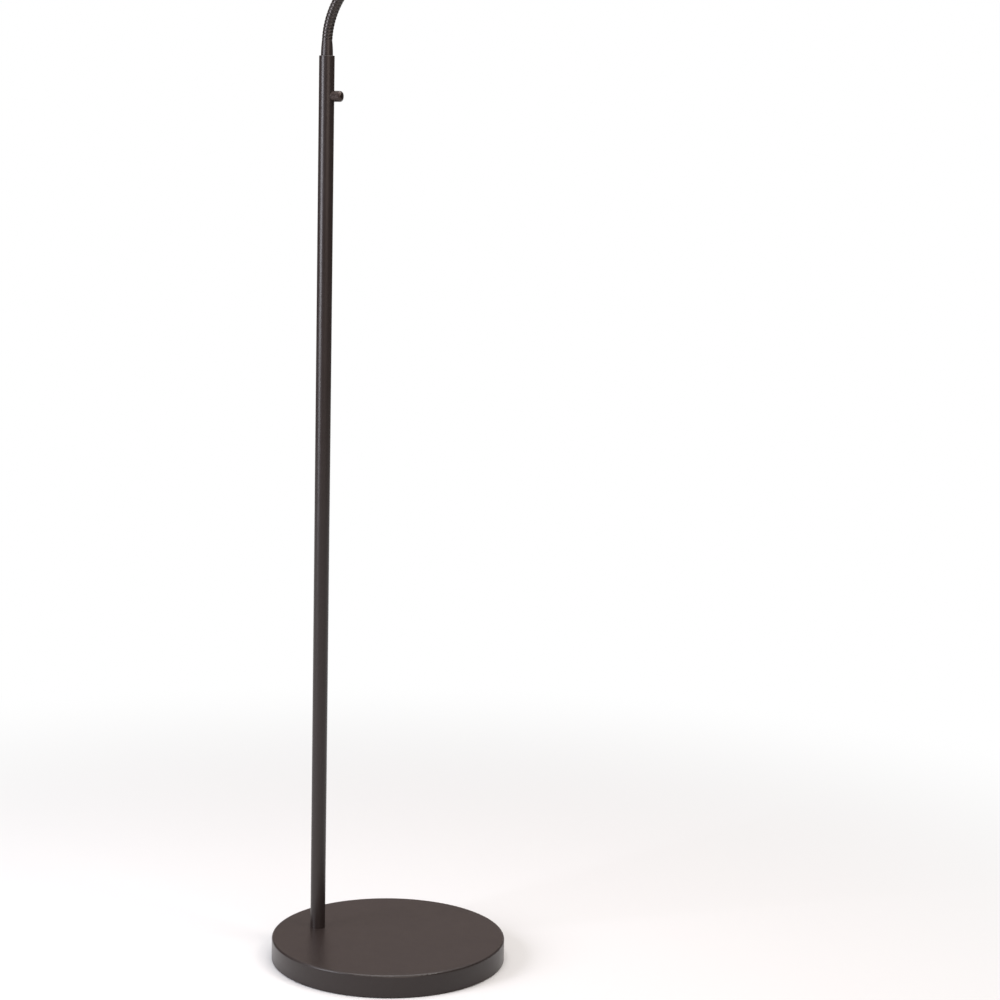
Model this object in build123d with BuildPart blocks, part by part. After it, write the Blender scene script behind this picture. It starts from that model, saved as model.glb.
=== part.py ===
from build123d import *
import os
from math import cos, radians, sin, sqrt

# A gooseneck reading floor lamp: a round weighted base, a pole that stands off the base's centre,
# a push switch near the top of the pole, a ribbed gooseneck and a small conical LED head.
# Millimetres. The origin is the centre of the base on the floor, +Z is up, and +X runs from the
# pole towards the side that the neck leans to. The neck bends in the plane y = 0.

# ---------------------------------------------------------------- driving dimensions
# fits
slip = 0.05                  # radial clearance of a plug, thread or pin in its hole
seat = 0.3                   # clearance between pieces that only lie near each other

# base
base_diameter = 250.0
base_height = 24.5           # floor to the top of the cover
cover_wall = 1.5
cover_edge_radius = 2.2      # rolled top edge
cover_lift = 1.0             # the cover's rim clears the floor by this
pad_thickness = 2.0
weight_web = 11.0            # thickness of the iron disc under the cover
weight_rim_width = 15.0      # the iron disc's rim, which reaches down to the pad
weight_edge_chamfer = 1.5

# pole
pole_inset = 44.0            # its axis, from the base's rim
pole_diameter = 16.0
pole_wall = 1.2
pole_length = 930.8
pole_end_radius = 0.6
foot_bush_length = 30.0

# fixing of the pole
stud_diameter = 10.0
stud_bore = 6.4
nut_across_flats = 17.0
nut_height = 5.0
washer_diameter = 26.0
washer_thickness = 1.6
lock_washer_diameter = 18.0
lock_washer_thickness = 1.0
lock_washer_gap = 1.2
pocket_diameter = 32.0       # pocket in the weight for the nut and washers
pocket_depth = 7.0

# leads inside the lamp
base_lead_diameter = 3.6
base_lead_bend = 6.0
neck_lead_diameter = 2.8

# where the mains cord comes in
gland_height = 6.8           # its axis above the floor
gland_bore = 6.2
gland_neck_diameter = 8.4
gland_flange_diameter = 10.6
gland_flange = 1.5
gland_length = 12.0
lead_set_back = 2.0          # the inner lead starts this far behind the gland
cord_slot_width = 16.0
clamp_length = 8.0           # along the lead
clamp_width = 22.0
clamp_wall = 1.5             # under the lead
clamp_screw_spacing = 14.0
clamp_place = 22.0           # from the pole's axis, towards the gland
screw_diameter = 3.0
screw_head_diameter = 5.5
screw_head_height = 2.0
screw_grip = 7.0             # depth of a clamp screw in the weight

# push switch
switch_drop = 41.1           # its axis below the pole's top
button_diameter = 11.3
button_reach = 17.7          # the button's tip, from the pole's axis
button_edge_radius = 3.2
button_back = 5.0            # its inner end, from the pole's axis
button_front_wall = 3.0
button_side_wall = 1.0
button_travel = 1.2
button_stem_diameter = 3.0
button_stem_length = 11.4
lug_width = 3.0              # two lugs above and below keep the button in the pole
lug_thickness = 1.1
lug_rise = 1.0               # above the button's side
switch_height = 22.0
switch_face = 1.0            # the switch's flat front, from the pole's axis
boss_diameter = 5.0
boss_length = 7.0
boss_floor = 0.8
spring_wire = 0.45
spring_turns = 7

# ferrules
ferrule_height = 15.7        # the part that shows
ferrule_foot_diameter = 12.4
ferrule_top_diameter = 10.5
ferrule_shank = 18.0         # the part inside the pole
ferrule_sink = 0.5           # the shank's top lies this far inside the pole
spigot_diameter = 6.0        # it enters the neck's bore
spigot_length = 6.0
grub_diameter = 3.0
grub_drop = 10.0             # below the pole's top
grub_bite = 1.0              # depth of its point in the shank
ferrule_thread = 9.4         # depth of the upper ferrule's thread

# gooseneck
neck_groove_diameter = 9.7
neck_flank_diameter = 10.5
neck_crest_diameter = 10.8
neck_bore = 4.4
rib_pitch = 3.5
ribs_per_section = 8
neck_sections = 17
bend_start = 3.7             # the bend starts this far below the ferrule's top
neck_gap = 0.25              # between the ferrule's top and the neck's first rib
neck_lower_radius = 88.0     # the neck's three bends, from the pole to the head
neck_lower_turn = 30.0       # degrees
neck_middle_radius = 600.0
neck_middle_turn = 22.0
neck_upper_radius = 115.0
neck_upper_turn = 98.0
ball_diameter = 7.8          # each length ends in a ball that turns in the next one's cup

# head
head_stud_diameter = 8.0
head_stud_reach = 20.3       # past the ferrule's end
head_washer_diameter = 18.0
head_washer_thickness = 1.0
head_nut_across_flats = 13.0
head_nut_height = 4.5
shade_length = 82.0
shade_shoulder_diameter = 40.0
shade_rim_diameter = 62.0
shade_wall = 1.0
shade_shoulder_radius = 11.0
sink_place = 10.3            # the heat sink's back, from the shade's crown
sink_fin_height = 8.0
sink_plate = 6.0
sink_boss_diameter = 16.0
sink_fins = 12
sink_fin_thickness = 1.5
sink_fin_clearance = 3.0     # the fins stay this far inside the shade's cone
board_diameter = 28.0
board_thickness = 1.6
chip_diameter = 13.0
chip_thickness = 1.2
board_screw_diameter = 2.5
board_screw_head = 4.0
board_screw_head_height = 1.4
board_screw_circle = 23.0
board_screw_count = 3
board_screw_length = 6.0
reflector_wall = 1.0
reflector_throat = 15.6      # its inside diameter at the board
reflector_throat_length = 2.4
reflector_flange = 1.2
reflector_slope = 1.5        # its wall's rise over run where it leaves the throat
lens_thickness = 3.0
bezel_height = 3.2
bezel_width = 3.5
bezel_sink = 0.2             # the bezel's face lies this far inside the rim

# ---------------------------------------------------------------- places worked out from them
base_radius = base_diameter / 2
pole_radius = pole_diameter / 2
pole_bore_radius = pole_radius - pole_wall
pole_x = pole_inset - base_radius
pole_foot = base_height
pole_top = pole_foot + pole_length
weight_top = base_height - cover_wall
weight_radius = base_radius - cover_wall - seat
web_bottom = weight_top - weight_web
pocket_top = web_bottom + pocket_depth
stud_radius = stud_diameter / 2
nut_top = pocket_top - washer_thickness - lock_washer_thickness
nut_bottom = nut_top - nut_height
switch_z = pole_top - switch_drop
ferrule_top = pole_top + ferrule_height
lead_radius = base_lead_diameter / 2
neck_lead_radius = neck_lead_diameter / 2
section_length = rib_pitch * ribs_per_section
neck_bends = (
    (neck_lower_radius, neck_lower_turn),
    (neck_middle_radius, neck_middle_turn),
    (neck_upper_radius, neck_upper_turn),
)
neck_start = bend_start + neck_gap
neck_end = neck_start + section_length * neck_sections
ball_radius = ball_diameter / 2

os.makedirs("parts", exist_ok=True)


def finish(piece, label):
    """Names a finished piece and writes it."""
    piece.part.label = label
    export_step(piece.part, f"parts/{label}.step")


def turning_plane(origin, direction, outward):
    """The plane that a turned piece's half profile lies in: x runs outward, y along the axis."""
    return Plane(origin=origin, x_dir=outward, z_dir=Vector(*outward).cross(Vector(*direction)))


pole_axis = Axis((pole_x, 0, 0), (0, 0, 1))

# ---------------------------------------------------------------- base
with BuildPart() as base_cover:
    with BuildSketch(Plane.XY.offset(cover_lift)):
        Circle(base_radius)
    extrude(amount=base_height - cover_lift)
    fillet(base_cover.edges().group_by(Axis.Z)[-1], radius=cover_edge_radius)
    floor_face = base_cover.faces().sort_by(Axis.Z)[0]
    offset(amount=-cover_wall, openings=floor_face)
    with BuildSketch(Plane.XY.offset(weight_top)):
        with Locations((pole_x, 0)):
            Circle(stud_radius + seat)
    extrude(amount=cover_wall, mode=Mode.SUBTRACT)
    with BuildSketch(Plane.YZ.offset(-base_radius)):
        with Locations((0, gland_height)):
            Circle(gland_neck_diameter / 2 + slip)
    extrude(amount=2 * cover_wall, mode=Mode.SUBTRACT)
finish(base_cover, "base_cover")

with BuildPart() as base_weight:
    with BuildSketch(Plane.XY.offset(pad_thickness)):
        Circle(weight_radius)
    extrude(amount=weight_top - pad_thickness)
    with BuildSketch(Plane.XY.offset(pad_thickness)):
        Circle(weight_radius - weight_rim_width)
    extrude(amount=web_bottom - pad_thickness, mode=Mode.SUBTRACT)
    chamfer(base_weight.edges().group_by(Axis.Z)[-1], length=weight_edge_chamfer)
    with BuildSketch(Plane.XY.offset(web_bottom)):
        with Locations((pole_x, 0)):
            Circle(pocket_diameter / 2)
    extrude(amount=pocket_depth, mode=Mode.SUBTRACT)
    with BuildSketch(Plane.XY.offset(web_bottom)):
        with Locations((pole_x, 0)):
            Circle(stud_radius + seat)
    extrude(amount=weight_web, mode=Mode.SUBTRACT)
    # the cord's slot through the rim
    with BuildSketch(Plane.XY.offset(pad_thickness)):
        with Locations((-(weight_radius - weight_rim_width / 2), 0)):
            Rectangle(2 * weight_rim_width, cord_slot_width)
    extrude(amount=web_bottom - pad_thickness, mode=Mode.SUBTRACT)
    # blind holes for the cord clamp's screws
    with BuildSketch(Plane.XY.offset(web_bottom)):
        with Locations((pole_x - clamp_place, 0)):
            with GridLocations(1, clamp_screw_spacing, 1, 2):
                Circle(screw_diameter / 2 + slip)
    extrude(amount=screw_grip + seat, mode=Mode.SUBTRACT)
finish(base_weight, "base_weight")

with BuildPart() as base_pad:
    with BuildSketch():
        Circle(weight_radius)
    extrude(amount=pad_thickness)
finish(base_pad, "base_pad")

# ---------------------------------------------------------------- pole and its fixing
with BuildPart() as pole:
    with BuildSketch(Plane.XY.offset(pole_foot)):
        with Locations((pole_x, 0)):
            Circle(pole_radius)
            Circle(pole_bore_radius, mode=Mode.SUBTRACT)
    extrude(amount=pole_length)
    fillet(pole.edges().group_by(Axis.Z)[-1].sort_by(SortBy.RADIUS)[-1], radius=pole_end_radius)
    # the button's hole in the front, and the grub screw's hole in the back
    with BuildSketch(Plane.YZ.offset(pole_x)):
        with Locations((0, switch_z)):
            Circle(button_diameter / 2 + slip)
    extrude(amount=pole_diameter, mode=Mode.SUBTRACT)
    with BuildSketch(Plane.YZ.offset(pole_x)):
        with Locations((0, pole_top - grub_drop)):
            Circle(grub_diameter / 2 + slip)
    extrude(amount=-pole_diameter, mode=Mode.SUBTRACT)
finish(pole, "pole")

with BuildPart() as pole_foot_bush:
    with BuildSketch(Plane.XY.offset(pole_foot)):
        with Locations((pole_x, 0)):
            Circle(pole_bore_radius - slip)
            Circle(stud_radius + slip, mode=Mode.SUBTRACT)
    extrude(amount=foot_bush_length)
finish(pole_foot_bush, "pole_foot_bush")

with BuildPart() as base_stud:
    with BuildSketch(Plane.XY.offset(nut_bottom)):
        with Locations((pole_x, 0)):
            Circle(stud_radius)
            Circle(stud_bore / 2, mode=Mode.SUBTRACT)
    extrude(amount=pole_foot + foot_bush_length - nut_bottom)
finish(base_stud, "base_stud")

with BuildPart() as stud_washer:
    with BuildSketch(Plane.XY.offset(pocket_top)):
        with Locations((pole_x, 0)):
            Circle(washer_diameter / 2)
            Circle(stud_radius + seat, mode=Mode.SUBTRACT)
    extrude(amount=-washer_thickness)
finish(stud_washer, "stud_washer")

with BuildPart() as stud_lock_washer:
    with BuildSketch(Plane.XY.offset(nut_top)):
        with Locations((pole_x, 0)):
            Circle(lock_washer_diameter / 2)
            Circle(stud_radius + seat, mode=Mode.SUBTRACT)
        with Locations((pole_x + lock_washer_diameter / 2, 0)):
            Rectangle(lock_washer_diameter, lock_washer_gap, mode=Mode.SUBTRACT)
    extrude(amount=lock_washer_thickness)
finish(stud_lock_washer, "stud_lock_washer")

with BuildPart() as stud_nut:
    with BuildSketch(Plane.XY.offset(nut_bottom)):
        with Locations((pole_x, 0)):
            RegularPolygon(nut_across_flats / 2, 6, major_radius=False)
            Circle(stud_radius + slip, mode=Mode.SUBTRACT)
    extrude(amount=nut_height)
finish(stud_nut, "stud_nut")

# ---------------------------------------------------------------- where the cord comes in
gland_out = -base_radius - gland_flange

with BuildPart() as cord_gland:
    with BuildSketch(Plane.YZ.offset(gland_out)):
        with Locations((0, gland_height)):
            Circle(gland_flange_diameter / 2)
    extrude(amount=gland_flange)
    fillet(cord_gland.edges().group_by(Axis.X)[0], radius=gland_flange / 2)
    with BuildSketch(Plane.YZ.offset(gland_out)):
        with Locations((0, gland_height)):
            Circle(gland_neck_diameter / 2)
    extrude(amount=gland_length)
    with BuildSketch(Plane.YZ.offset(gland_out)):
        with Locations((0, gland_height)):
            Circle(gland_bore / 2)
    extrude(amount=gland_length, mode=Mode.SUBTRACT)
finish(cord_gland, "cord_gland")

clamp_bottom = gland_height - lead_radius - seat - clamp_wall
clamp_x = pole_x - clamp_place
clamp_counterbore = screw_head_height + clamp_wall / 2

with BuildPart() as cord_clamp:
    with BuildSketch(Plane.XY.offset(clamp_bottom)):
        with Locations((clamp_x, 0)):
            Rectangle(clamp_length, clamp_width)
    extrude(amount=web_bottom - clamp_bottom)
    fillet(cord_clamp.edges().filter_by(Axis.Z), radius=clamp_length / 4)
    with BuildSketch(Plane.YZ.offset(clamp_x - clamp_length)):
        with Locations((0, gland_height)):
            Circle(lead_radius + slip)
    extrude(amount=2 * clamp_length, mode=Mode.SUBTRACT)
    with BuildSketch(Plane.XY.offset(clamp_bottom)):
        with Locations((clamp_x, 0)):
            with GridLocations(1, clamp_screw_spacing, 1, 2):
                Circle(screw_diameter / 2 + slip)
    extrude(amount=web_bottom - clamp_bottom, mode=Mode.SUBTRACT)
    with BuildSketch(Plane.XY.offset(clamp_bottom)):
        with Locations((clamp_x, 0)):
            with GridLocations(1, clamp_screw_spacing, 1, 2):
                Circle(screw_head_diameter / 2 + slip)
    extrude(amount=clamp_counterbore, mode=Mode.SUBTRACT)
finish(cord_clamp, "cord_clamp")

with BuildPart() as clamp_screws:
    with BuildSketch(Plane.XY.offset(clamp_bottom + clamp_counterbore)):
        with Locations((clamp_x, 0)):
            with GridLocations(1, clamp_screw_spacing, 1, 2):
                Circle(screw_head_diameter / 2)
    extrude(amount=-screw_head_height)
    with BuildSketch(Plane.XY.offset(clamp_bottom + clamp_counterbore)):
        with Locations((clamp_x, 0)):
            with GridLocations(1, clamp_screw_spacing, 1, 2):
                Circle(screw_diameter / 2)
    extrude(amount=web_bottom + screw_grip - clamp_bottom - clamp_counterbore)
finish(clamp_screws, "clamp_screws")

lead_start = gland_out + gland_length + lead_set_back

with BuildPart() as base_lead:
    with BuildLine():
        FilletPolyline(
            (lead_start, 0, gland_height),
            (pole_x, 0, gland_height),
            (pole_x, 0, switch_z - switch_height / 2),
            radius=base_lead_bend,
        )
    with BuildSketch(Plane.YZ.offset(lead_start)):
        with Locations((0, gland_height)):
            Circle(lead_radius)
    sweep()
finish(base_lead, "base_lead")

# ---------------------------------------------------------------- push switch
button_radius = button_diameter / 2
stem_radius = button_stem_diameter / 2
boss_radius = boss_diameter / 2
cavity_radius = button_radius - button_side_wall
cavity_end = button_reach - button_front_wall
lug_front = sqrt(pole_bore_radius**2 - (lug_width / 2) ** 2) - 2 * slip

with BuildPart() as switch_body:
    with BuildSketch(Plane.XY.offset(switch_z - switch_height / 2)):
        with Locations((pole_x, 0)):
            Circle(pole_bore_radius - slip)
        with Locations((pole_x + switch_face, 0)):
            Rectangle(pole_diameter, pole_diameter, align=(Align.MIN, Align.CENTER), mode=Mode.SUBTRACT)
    extrude(amount=switch_height)
    with BuildSketch(Plane.YZ.offset(pole_x + switch_face)):
        with Locations((0, switch_z)):
            Circle(boss_radius)
    extrude(amount=boss_length)
    with BuildSketch(Plane.YZ.offset(pole_x + switch_face + boss_floor)):
        with Locations((0, switch_z)):
            Circle(stem_radius + slip)
    extrude(amount=boss_length, mode=Mode.SUBTRACT)
finish(switch_body, "switch_body")

with BuildPart() as button_cap:
    with BuildSketch(Plane.YZ.offset(pole_x + button_back)):
        with Locations((0, switch_z)):
            Circle(button_radius)
    extrude(amount=button_reach - button_back)
    fillet(button_cap.edges().sort_by(Axis.X)[-1], radius=button_edge_radius)
    with BuildSketch(Plane.YZ.offset(pole_x + button_back)):
        with Locations((0, switch_z)):
            Circle(cavity_radius)
    extrude(amount=cavity_end - button_back, mode=Mode.SUBTRACT)
    with BuildSketch(Plane.YZ.offset(pole_x + cavity_end)):
        with Locations((0, switch_z)):
            Circle(stem_radius)
    extrude(amount=-button_stem_length)
    with BuildSketch(Plane.YZ.offset(pole_x + lug_front)):
        with Locations((0, switch_z)):
            Rectangle(lug_width, 2 * (button_radius + lug_rise))
            Circle(cavity_radius, mode=Mode.SUBTRACT)
    extrude(amount=-lug_thickness)
finish(button_cap, "button_cap")

spring_length = cavity_end - switch_face - 2 * slip
spring_radius = (cavity_radius + boss_radius) / 2
spring_start = pole_x + switch_face + slip + spring_wire / 2

with BuildPart() as return_spring:
    with BuildLine() as spring_route:
        Helix(
            pitch=(spring_length - spring_wire) / spring_turns,
            height=spring_length - spring_wire,
            radius=spring_radius,
            center=(spring_start, 0, switch_z),
            direction=(1, 0, 0),
        )
    with BuildSketch(Plane(origin=spring_route.line @ 0, z_dir=spring_route.line % 0)):
        Circle(spring_wire / 2)
    sweep(is_frenet=True)
finish(return_spring, "return_spring")

# ---------------------------------------------------------------- ferrule on the pole
def ferrule_profile():
    """Half profile of a ferrule, from its foot to the top of the spigot that enters the neck."""
    foot = ferrule_foot_diameter / 2
    top = ferrule_top_diameter / 2
    spigot = spigot_diameter / 2
    bore = neck_bore / 2
    Line((bore, 0), (foot, 0))
    TangentArc((foot, 0), (top, ferrule_height), tangent=(0, 1))
    Polyline(
        (top, ferrule_height),
        (spigot, ferrule_height),
        (spigot, ferrule_height + spigot_length),
        (bore, ferrule_height + spigot_length),
        (bore, 0),
    )


shank_radius = pole_bore_radius - slip

with BuildPart() as lower_ferrule:
    with BuildSketch(turning_plane((pole_x, 0, pole_top), (0, 0, 1), (1, 0, 0))):
        with BuildLine():
            ferrule_profile()
        make_face()
    revolve(axis=pole_axis)
    with BuildSketch(Plane.XY.offset(pole_top - ferrule_shank)):
        with Locations((pole_x, 0)):
            Circle(ferrule_foot_diameter / 2)
            Circle(neck_bore / 2, mode=Mode.SUBTRACT)
    extrude(amount=ferrule_shank)
    with BuildSketch(Plane.XY.offset(pole_top - ferrule_shank)):
        with Locations((pole_x, 0)):
            Circle(shank_radius)
            Circle(neck_bore / 2, mode=Mode.SUBTRACT)
    extrude(amount=ferrule_shank - ferrule_sink)
    # a dimple for the grub screw's point
    with BuildSketch(Plane.YZ.offset(pole_x - shank_radius + grub_bite)):
        with Locations((0, pole_top - grub_drop)):
            Circle(grub_diameter / 2 + slip)
    extrude(amount=-pole_radius, mode=Mode.SUBTRACT)
finish(lower_ferrule, "lower_ferrule")

with BuildPart() as ferrule_grub_screw:
    with BuildSketch(Plane.YZ.offset(pole_x - shank_radius + grub_bite - slip)):
        with Locations((0, pole_top - grub_drop)):
            Circle(grub_diameter / 2)
            RegularPolygon(grub_diameter / 4, 6, major_radius=False, mode=Mode.SUBTRACT)
    extrude(amount=-(pole_wall + grub_bite))
finish(ferrule_grub_screw, "ferrule_grub_screw")

# ---------------------------------------------------------------- gooseneck
bend_z = ferrule_top - bend_start


def neck_plane(s):
    """The plane square to the neck at arc length s past the start of its bend; its x is always +Y."""
    x, z, angle = pole_x, bend_z, 0.0
    left = s
    for radius, turn in neck_bends:
        if left <= 0:
            break
        step = min(left / radius, radians(turn))
        x += radius * (cos(angle) - cos(angle + step))
        z += radius * (sin(angle + step) - sin(angle))
        angle += step
        left -= radius * step
    # the ends run straight
    x += left * sin(angle)
    z += left * cos(angle)
    return Plane(origin=(x, 0, z), x_dir=(0, 1, 0), z_dir=(sin(angle), 0, cos(angle)))


# the radii at the four quarters of a rib, from groove to groove
rib_radii = [d / 2 for d in (neck_groove_diameter, neck_flank_diameter, neck_crest_diameter, neck_flank_diameter)]
quarter = rib_pitch / len(rib_radii)
quarters = ribs_per_section * len(rib_radii)


def cut_place(number):
    """Arc length of the cut between one length of neck and the next, counted from the ferrule."""
    return neck_start + number * section_length


for number in range(neck_sections):
    first = number == 0
    last = number == neck_sections - 1
    start, end = cut_place(number), cut_place(number + 1)
    # a moving end stops a quarter of a rib short of the ball's centre
    with BuildPart() as neck_section:
        for k in range(0 if first else 1, quarters + 1 if last else quarters):
            with BuildSketch(neck_plane(start + k * quarter)):
                Circle(rib_radii[k % len(rib_radii)])
        loft(ruled=True)
        if not last:
            with Locations(neck_plane(end)):
                Sphere(ball_radius)
        if not first:
            with Locations(neck_plane(start)):
                Sphere(ball_radius + slip, mode=Mode.SUBTRACT)
        # the bore runs past both ends, and so through the ball
        for k in range(-1, ribs_per_section + 3):
            with BuildSketch(neck_plane(start + k * rib_pitch)):
                Circle(neck_bore / 2)
        loft(ruled=True, mode=Mode.SUBTRACT)
        # the ferrules' spigots go into the two outer ends
        if first:
            with BuildSketch(Plane.XY.offset(ferrule_top)):
                with Locations((pole_x, 0)):
                    Circle(spigot_diameter / 2 + slip)
            extrude(amount=spigot_length + seat, mode=Mode.SUBTRACT)
        if last:
            with BuildSketch(neck_plane(end)):
                Circle(spigot_diameter / 2 + slip)
            extrude(amount=-spigot_length - seat, mode=Mode.SUBTRACT)
    finish(neck_section, f"neck_section_{number + 1:02d}")

# ---------------------------------------------------------------- head
# Its pieces are turned about the neck's last direction; "along" is measured from the neck's end.
neck_tip = neck_plane(neck_end)
head_origin = neck_tip.origin
head_direction = neck_tip.z_dir
head_outward = neck_tip.z_dir.cross(Vector(0, 1, 0))
head_axis = Axis(head_origin, head_direction)
head_profile = turning_plane(head_origin, head_direction, head_outward)


def head_plane(along):
    """The plane square to the head's axis at a distance from the neck's end."""
    return Plane(origin=head_origin + head_direction * along, x_dir=(0, 1, 0), z_dir=head_direction)


crown = ferrule_height
rim = crown + shade_length
shade_slope = (shade_rim_diameter - shade_shoulder_diameter) / 2 / shade_length
shade_skew = sqrt(1 + shade_slope**2)


def shade_inside(along):
    """Inside radius of the shade's cone at a distance from the neck's end."""
    return shade_shoulder_diameter / 2 + shade_slope * (along - crown) - shade_wall * shade_skew


with BuildPart() as upper_ferrule:
    with BuildSketch(turning_plane(head_plane(crown).origin, -head_direction, head_outward)):
        with BuildLine():
            ferrule_profile()
        make_face()
    revolve(axis=head_axis)
    with BuildSketch(head_plane(crown)):
        Circle(head_stud_diameter / 2 + slip)
    extrude(amount=-ferrule_thread, mode=Mode.SUBTRACT)
finish(upper_ferrule, "upper_ferrule")

stud_from = crown - ferrule_thread + seat
stud_to = crown + head_stud_reach

with BuildPart() as head_stud:
    with BuildSketch(head_plane(stud_from)):
        Circle(head_stud_diameter / 2)
        Circle(neck_bore / 2, mode=Mode.SUBTRACT)
    extrude(amount=stud_to - stud_from)
finish(head_stud, "head_stud")

with BuildPart() as shade:
    with BuildSketch(head_profile):
        with BuildLine():
            Polyline(
                (0, crown),
                (shade_shoulder_diameter / 2, crown),
                (shade_rim_diameter / 2, rim),
                (0, rim),
                close=True,
            )
        make_face()
    revolve(axis=head_axis)
    shoulder = shade.edges().filter_by(GeomType.CIRCLE).sort_by(SortBy.RADIUS)[0]
    fillet(shoulder, radius=shade_shoulder_radius)
    mouth = shade.faces().filter_by(GeomType.PLANE).sort_by(SortBy.AREA)[-1]
    offset(amount=-shade_wall, openings=mouth)
    with BuildSketch(head_plane(crown)):
        Circle(head_stud_diameter / 2 + slip)
    extrude(amount=shade_wall, mode=Mode.SUBTRACT)
finish(shade, "shade")

washer_from = crown + shade_wall
with BuildPart() as head_washer:
    with BuildSketch(head_plane(washer_from)):
        Circle(head_washer_diameter / 2)
        Circle(head_stud_diameter / 2 + slip, mode=Mode.SUBTRACT)
    extrude(amount=head_washer_thickness)
finish(head_washer, "head_washer")

with BuildPart() as head_nut:
    with BuildSketch(head_plane(washer_from + head_washer_thickness)):
        RegularPolygon(head_nut_across_flats / 2, 6, major_radius=False)
        Circle(head_stud_diameter / 2 + slip, mode=Mode.SUBTRACT)
    extrude(amount=head_nut_height)
finish(head_nut, "head_nut")

fins_from = crown + sink_place
plate_from = fins_from + sink_fin_height
board_from = plate_from + sink_plate
plate_radius = shade_inside(plate_from) - seat
fin_radius = shade_inside(fins_from) - sink_fin_clearance

with BuildPart() as heat_sink:
    with BuildSketch(head_plane(plate_from)):
        Circle(plate_radius)
    extrude(amount=sink_plate)
    with BuildSketch(head_plane(fins_from)):
        Circle(sink_boss_diameter / 2)
        with PolarLocations(sink_boss_diameter / 4 + fin_radius / 2, sink_fins):
            Rectangle(fin_radius - sink_boss_diameter / 2 + sink_fin_thickness, sink_fin_thickness)
    extrude(amount=sink_fin_height)
    with BuildSketch(head_plane(fins_from)):
        Circle(head_stud_diameter / 2 + slip)
    extrude(amount=stud_to + seat - fins_from, mode=Mode.SUBTRACT)
    with BuildSketch(head_plane(fins_from)):
        Circle(neck_bore / 2)
    extrude(amount=board_from - fins_from, mode=Mode.SUBTRACT)
    with BuildSketch(head_plane(board_from)):
        with PolarLocations(board_screw_circle / 2, board_screw_count):
            Circle(board_screw_diameter / 2 + slip)
    extrude(amount=-(board_screw_length - board_thickness + seat), mode=Mode.SUBTRACT)
finish(heat_sink, "heat_sink")

chip_from = board_from + board_thickness
with BuildPart() as led_board:
    with BuildSketch(head_plane(board_from)):
        Circle(board_diameter / 2)
        with PolarLocations(board_screw_circle / 2, board_screw_count):
            Circle(board_screw_diameter / 2 + slip, mode=Mode.SUBTRACT)
    extrude(amount=board_thickness)
finish(led_board, "led_board")

with BuildPart() as led_chip:
    with BuildSketch(head_plane(chip_from)):
        Circle(chip_diameter / 2)
    extrude(amount=chip_thickness)
finish(led_chip, "led_chip")

with BuildPart() as board_screws:
    with BuildSketch(head_plane(chip_from)):
        with PolarLocations(board_screw_circle / 2, board_screw_count):
            Circle(board_screw_head / 2)
    extrude(amount=board_screw_head_height)
    with BuildSketch(head_plane(chip_from)):
        with PolarLocations(board_screw_circle / 2, board_screw_count):
            Circle(board_screw_diameter / 2)
    extrude(amount=-board_screw_length)
finish(board_screws, "board_screws")

bezel_from = rim - bezel_sink - bezel_height
lens_from = bezel_from - lens_thickness
flange_from = lens_from - reflector_flange
throat = reflector_throat / 2
throat_to = chip_from + reflector_throat_length

with BuildPart() as reflector:
    with BuildSketch(head_profile):
        with BuildLine():
            mouth_radius = shade_inside(flange_from) - bezel_width
            flange_radius = shade_inside(flange_from) - seat
            Polyline((throat, chip_from), (throat, throat_to))
            TangentArc((throat, throat_to), (mouth_radius, lens_from), tangent=(1, reflector_slope))
            Polyline((mouth_radius, lens_from), (flange_radius, lens_from), (flange_radius, flange_from))
            Line((flange_radius, flange_from), (mouth_radius + reflector_wall, flange_from))
            TangentArc(
                (throat + reflector_wall, throat_to - reflector_wall / 2),
                (mouth_radius + reflector_wall, flange_from),
                tangent=(1, reflector_slope),
            )
            Polyline(
                (throat + reflector_wall, throat_to - reflector_wall / 2),
                (throat + reflector_wall, chip_from),
                (throat, chip_from),
            )
        make_face()
    revolve(axis=head_axis)
finish(reflector, "reflector")

with BuildPart() as lens:
    with BuildSketch(head_plane(lens_from)):
        Circle(shade_inside(lens_from) - seat)
    extrude(amount=lens_thickness)
finish(lens, "lens")

with BuildPart() as bezel_ring:
    with BuildSketch(head_profile):
        with BuildLine():
            Polyline(
                (shade_inside(bezel_from) - bezel_width, bezel_from),
                (shade_inside(bezel_from) - slip, bezel_from),
                (shade_inside(bezel_from + bezel_height) - slip, bezel_from + bezel_height),
                (shade_inside(bezel_from) - bezel_width / 2, bezel_from + bezel_height),
                close=True,
            )
        make_face()
    revolve(axis=head_axis)
finish(bezel_ring, "bezel_ring")

# ---------------------------------------------------------------- lead through the neck
with BuildPart() as neck_lead:
    with BuildLine() as neck_route:
        Line((pole_x, 0, switch_z + switch_height / 2), (pole_x, 0, bend_z))
        reached = 0.0
        for radius, turn in neck_bends:
            length = min(radius * radians(turn), neck_end - reached)
            ThreePointArc(
                neck_plane(reached).origin,
                neck_plane(reached + length / 2).origin,
                neck_plane(reached + length).origin,
            )
            reached += length
        Line(neck_plane(reached).origin, head_plane(board_from).origin)
    with BuildSketch(Plane.XY.offset(switch_z + switch_height / 2)):
        with Locations((pole_x, 0)):
            Circle(neck_lead_radius)
    sweep()
finish(neck_lead, "neck_lead")
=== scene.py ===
from math import radians

import bpy
import numpy as np
from mathutils import Matrix, Vector


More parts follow.
